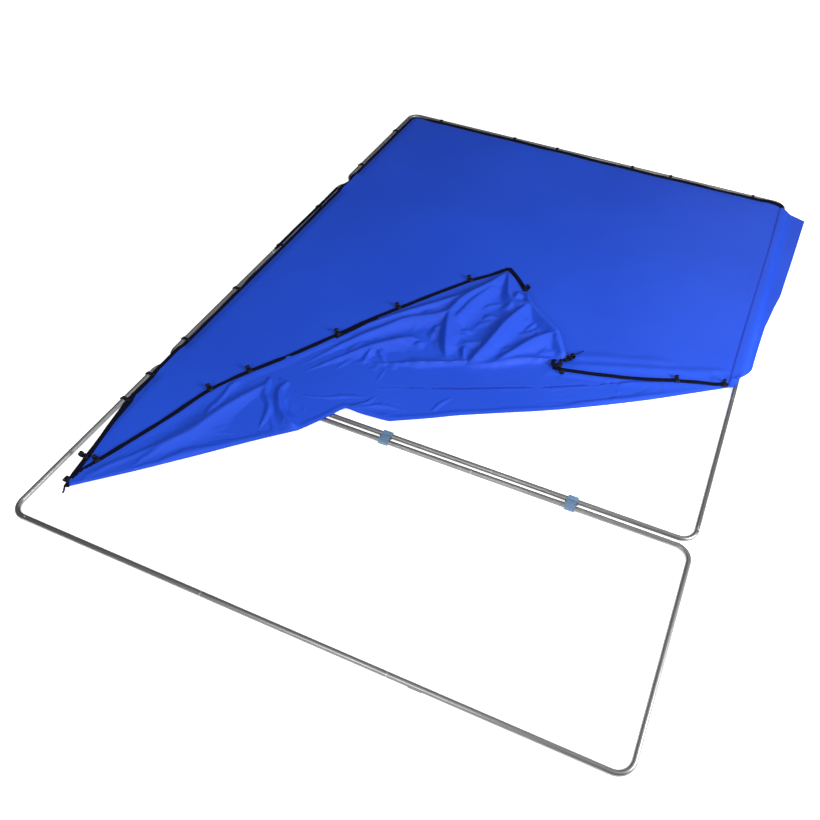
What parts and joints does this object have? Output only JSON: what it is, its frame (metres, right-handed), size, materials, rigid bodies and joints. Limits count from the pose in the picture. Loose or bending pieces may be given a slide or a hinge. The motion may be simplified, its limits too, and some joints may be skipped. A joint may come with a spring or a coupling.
{
  "type": "collapsible background frame",
  "caption": "Large folding studio background: tube panels joined by double tube clamps, with a blue stretch cover clipped on and its near corner folded back.",
  "frame": {"origin": "on the floor, under the middle of the bounding box of the background as it lies on its back", "axes": "+X from the top edge to the bottom edge with the skirt, +Y towards the right panel, +Z the front of the background, away from the floor"},
  "size_m": [3.0478, 4.0205, 0.092],
  "materials": {
    "tube_metal": "satin anodised drawn tube",
    "spring_steel": "bright spring steel",
    "clamp_blue": "light blue moulded nylon",
    "screw_black": "black finish",
    "cover_cloth": "matt stretch cloth, keying blue",
    "elastic_hem": "black woven elastic",
    "hook_plastic": "black moulded plastic",
    "black_rubber": "black rubber"
  },
  "bodies": {
    "centre_panel": {"centre_left_bent_tube": "tube_metal", "centre_left_middle_tube": "tube_metal", "centre_left_top_tube": "tube_metal", "centre_top_bent_tube": "tube_metal", "centre_right_bent_tube": "tube_metal", "centre_right_middle_tube": "tube_metal", "centre_right_bottom_tube": "tube_metal", "centre_bottom_bent_tube": "tube_metal", "centre_top_straight_tube": "tube_metal", "centre_bottom_straight_tube": "tube_metal", "centre_clamp_jaws": "clamp_blue", "clamp_pivot_screws": "screw_black", "cover_centre": "cover_cloth", "fold_centre": "cover_cloth", "skirt_centre": "cover_cloth", "hem_centre": "elastic_hem", "hooks_centre": "hook_plastic"},
    "left_panel": {"left_outer_bent_tube": "tube_metal", "left_outer_middle_tube": "tube_metal", "left_outer_top_tube": "tube_metal", "left_top_bent_tube": "tube_metal", "left_inner_bent_tube": "tube_metal", "left_inner_middle_tube": "tube_metal", "left_inner_bottom_tube": "tube_metal", "left_bottom_bent_tube": "tube_metal", "left_clamp_jaws": "clamp_blue", "cover_left": "cover_cloth", "fold_left": "cover_cloth", "hem_left": "elastic_hem", "hooks_left": "hook_plastic", "blank_label": "black_rubber", "tube_bumpers": "black_rubber"},
    "right_panel": {"right_inner_bent_tube": "tube_metal", "right_inner_middle_tube": "tube_metal", "right_inner_top_tube": "tube_metal", "right_top_bent_tube": "tube_metal", "right_outer_bent_tube": "tube_metal", "right_outer_middle_tube": "tube_metal", "right_outer_bottom_tube": "tube_metal", "right_bottom_bent_tube": "tube_metal", "right_clamp_jaws": "clamp_blue", "cover_right": "cover_cloth", "skirt_right": "cover_cloth", "hem_right": "elastic_hem", "hooks_right": "hook_plastic"},
    "left_outer_bottom_button": {"left_outer_bottom_button": "spring_steel"},
    "left_outer_top_button": {"left_outer_top_button": "spring_steel"},
    "left_inner_top_button": {"left_inner_top_button": "spring_steel"},
    "left_inner_bottom_button": {"left_inner_bottom_button": "spring_steel"},
    "centre_left_bottom_button": {"centre_left_bottom_button": "spring_steel"},
    "centre_left_top_button": {"centre_left_top_button": "spring_steel"},
    "centre_right_top_button": {"centre_right_top_button": "spring_steel"},
    "centre_right_bottom_button": {"centre_right_bottom_button": "spring_steel"},
    "right_inner_bottom_button": {"right_inner_bottom_button": "spring_steel"},
    "right_inner_top_button": {"right_inner_top_button": "spring_steel"},
    "right_outer_top_button": {"right_outer_top_button": "spring_steel"},
    "right_outer_bottom_button": {"right_outer_bottom_button": "spring_steel"}
  },
  "joints": [
    {"name": "left_fold", "type": "hinge", "parent": "centre_panel", "child": "left_panel", "pos_m": [-0.06955, -0.95165, 0.02], "axis": [-1, 0, 0], "range_deg": [0, 90]},
    {"name": "right_fold", "type": "hinge", "parent": "centre_panel", "child": "right_panel", "pos_m": [-0.06955, 0.94835, 0.02], "axis": [1, 0, 0], "range_deg": [0, 90]},
    {"name": "left_outer_bottom_press", "type": "slide", "parent": "left_panel", "child": "left_outer_bottom_button", "axis": [0, 0, -1], "range_m": [0, 0.003], "stiffness_N_per_m": 3000, "springref_m": -0.0005},
    {"name": "left_outer_top_press", "type": "slide", "parent": "left_panel", "child": "left_outer_top_button", "axis": [0, 0, -1], "range_m": [0, 0.003], "stiffness_N_per_m": 3000, "springref_m": -0.0005},
    {"name": "left_inner_top_press", "type": "slide", "parent": "left_panel", "child": "left_inner_top_button", "axis": [0, 0, -1], "range_m": [0, 0.003], "stiffness_N_per_m": 3000, "springref_m": -0.0005},
    {"name": "left_inner_bottom_press", "type": "slide", "parent": "left_panel", "child": "left_inner_bottom_button", "axis": [0, 0, -1], "range_m": [0, 0.003], "stiffness_N_per_m": 3000, "springref_m": -0.0005},
    {"name": "centre_left_bottom_press", "type": "slide", "parent": "centre_panel", "child": "centre_left_bottom_button", "axis": [0, 0, -1], "range_m": [0, 0.003], "stiffness_N_per_m": 3000, "springref_m": -0.0005},
    {"name": "centre_left_top_press", "type": "slide", "parent": "centre_panel", "child": "centre_left_top_button", "axis": [0, 0, -1], "range_m": [0, 0.003], "stiffness_N_per_m": 3000, "springref_m": -0.0005},
    {"name": "centre_right_top_press", "type": "slide", "parent": "centre_panel", "child": "centre_right_top_button", "axis": [0, 0, -1], "range_m": [0, 0.003], "stiffness_N_per_m": 3000, "springref_m": -0.0005},
    {"name": "centre_right_bottom_press", "type": "slide", "parent": "centre_panel", "child": "centre_right_bottom_button", "axis": [0, 0, -1], "range_m": [0, 0.003], "stiffness_N_per_m": 3000, "springref_m": -0.0005},
    {"name": "right_inner_bottom_press", "type": "slide", "parent": "right_panel", "child": "right_inner_bottom_button", "axis": [0, 0, -1], "range_m": [0, 0.003], "stiffness_N_per_m": 3000, "springref_m": -0.0005},
    {"name": "right_inner_top_press", "type": "slide", "parent": "right_panel", "child": "right_inner_top_button", "axis": [0, 0, -1], "range_m": [0, 0.003], "stiffness_N_per_m": 3000, "springref_m": -0.0005},
    {"name": "right_outer_top_press", "type": "slide", "parent": "right_panel", "child": "right_outer_top_button", "axis": [0, 0, -1], "range_m": [0, 0.003], "stiffness_N_per_m": 3000, "springref_m": -0.0005},
    {"name": "right_outer_bottom_press", "type": "slide", "parent": "right_panel", "child": "right_outer_bottom_button", "axis": [0, 0, -1], "range_m": [0, 0.003], "stiffness_N_per_m": 3000, "springref_m": -0.0005}
  ]
}
